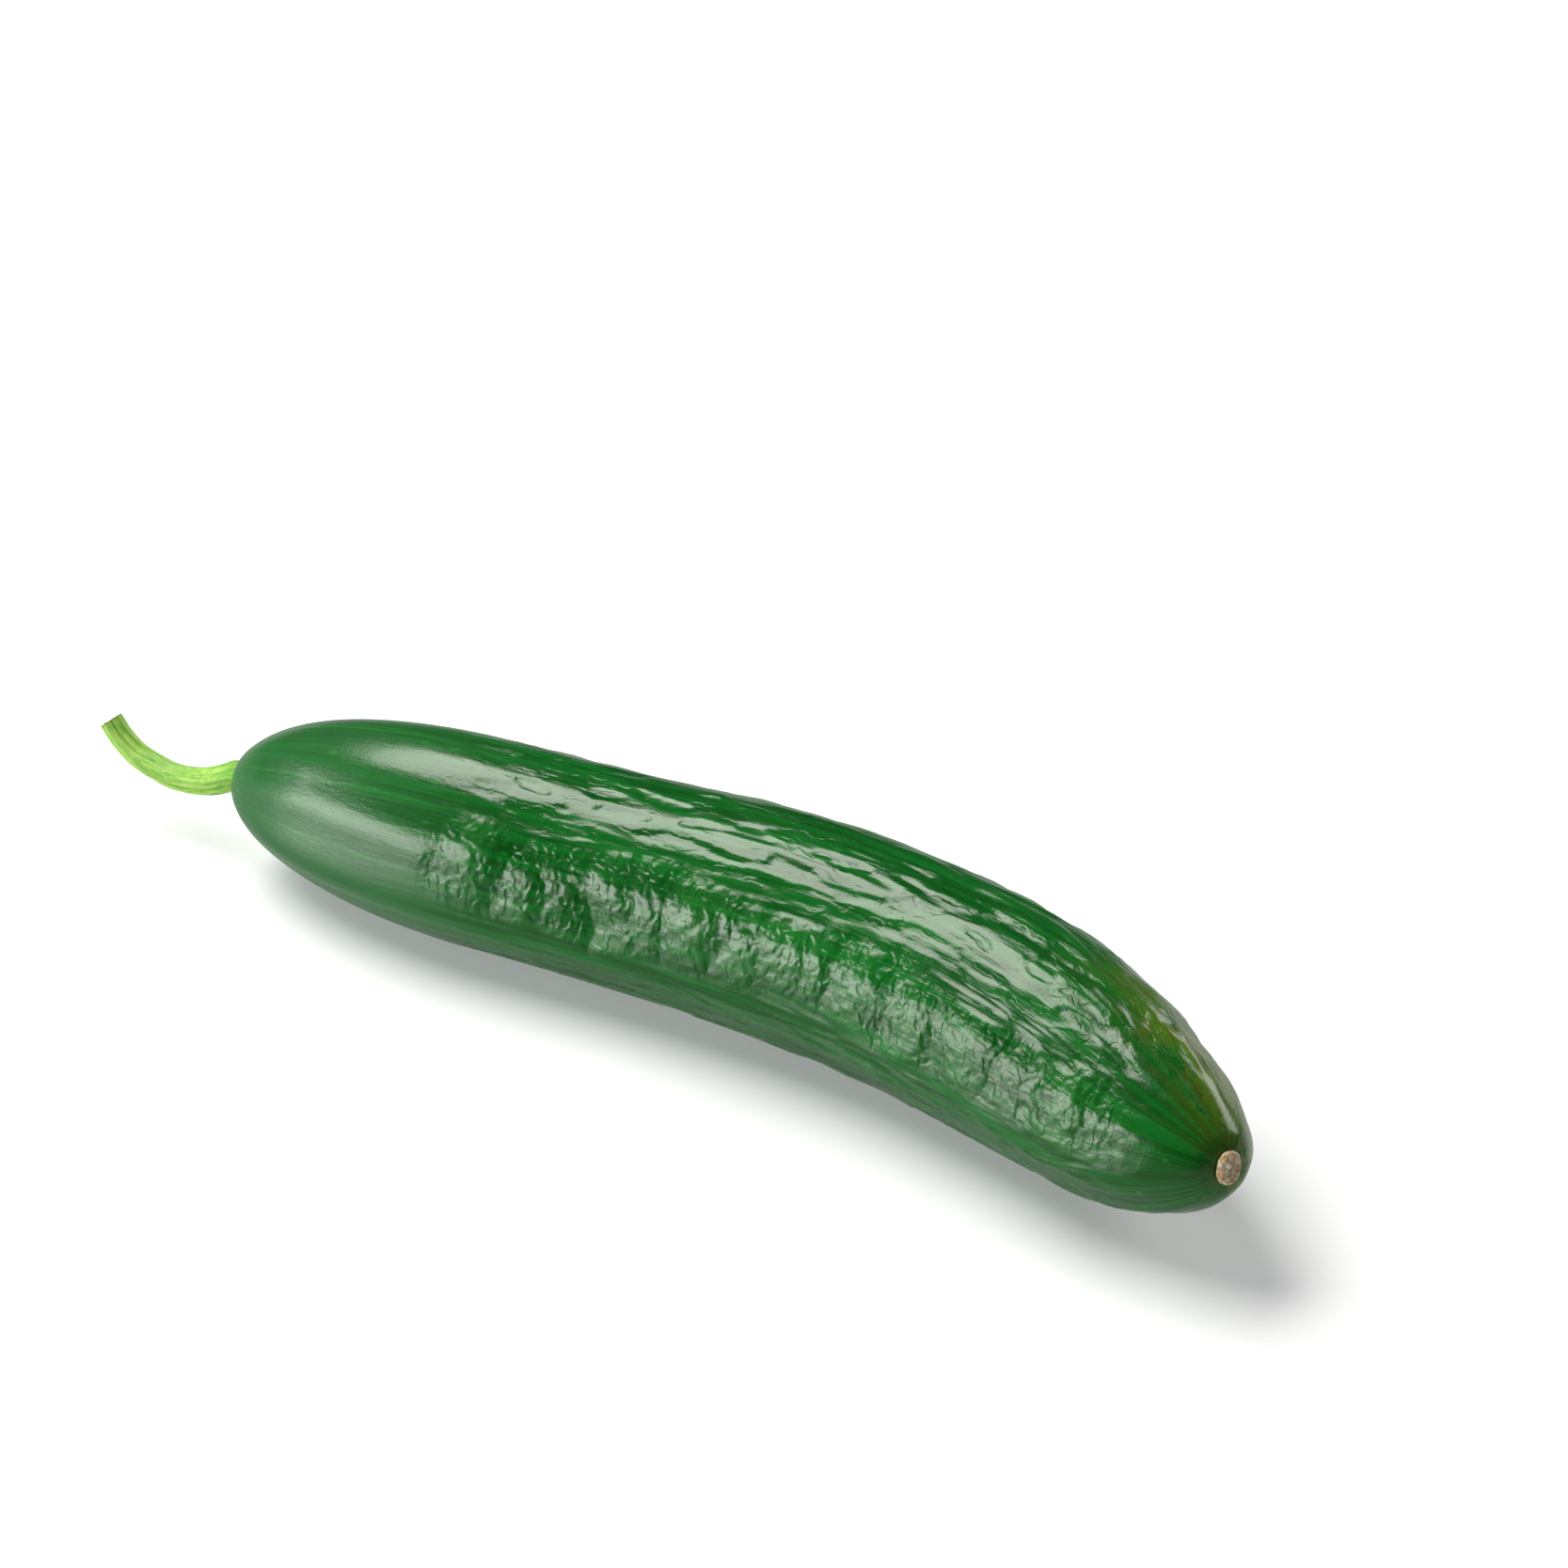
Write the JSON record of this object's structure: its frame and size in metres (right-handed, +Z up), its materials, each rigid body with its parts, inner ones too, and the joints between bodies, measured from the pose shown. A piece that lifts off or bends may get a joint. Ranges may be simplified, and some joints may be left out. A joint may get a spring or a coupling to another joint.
{
  "type": "cucumber",
  "caption": "Green cucumber as picked, lying on its side: a gently bent fruit with a waxy ribbed skin, its curved green stalk and the dry corky scar of its flower.",
  "frame": {"origin": "on the surface that the cucumber lies on, under the middle of its box", "axes": "+Z up; +X along the straight line from the stalk end to the flower end; the fruit's middle is bent towards +Y"},
  "size_m": [0.2618, 0.055, 0.0421],
  "materials": {
    "skin": "dark green waxy skin, satin, with fine wrinkles and small bumps; smoother and greyer on the neck",
    "stalk": "light yellow-green, matt and ridged lengthways, with an olive cut end",
    "scar": "dry corky tan, matt and cracked"
  },
  "bodies": {
    "root": {"fruit": "skin", "stalk": "stalk", "blossom_scar": "scar"}
  },
  "joints": []
}
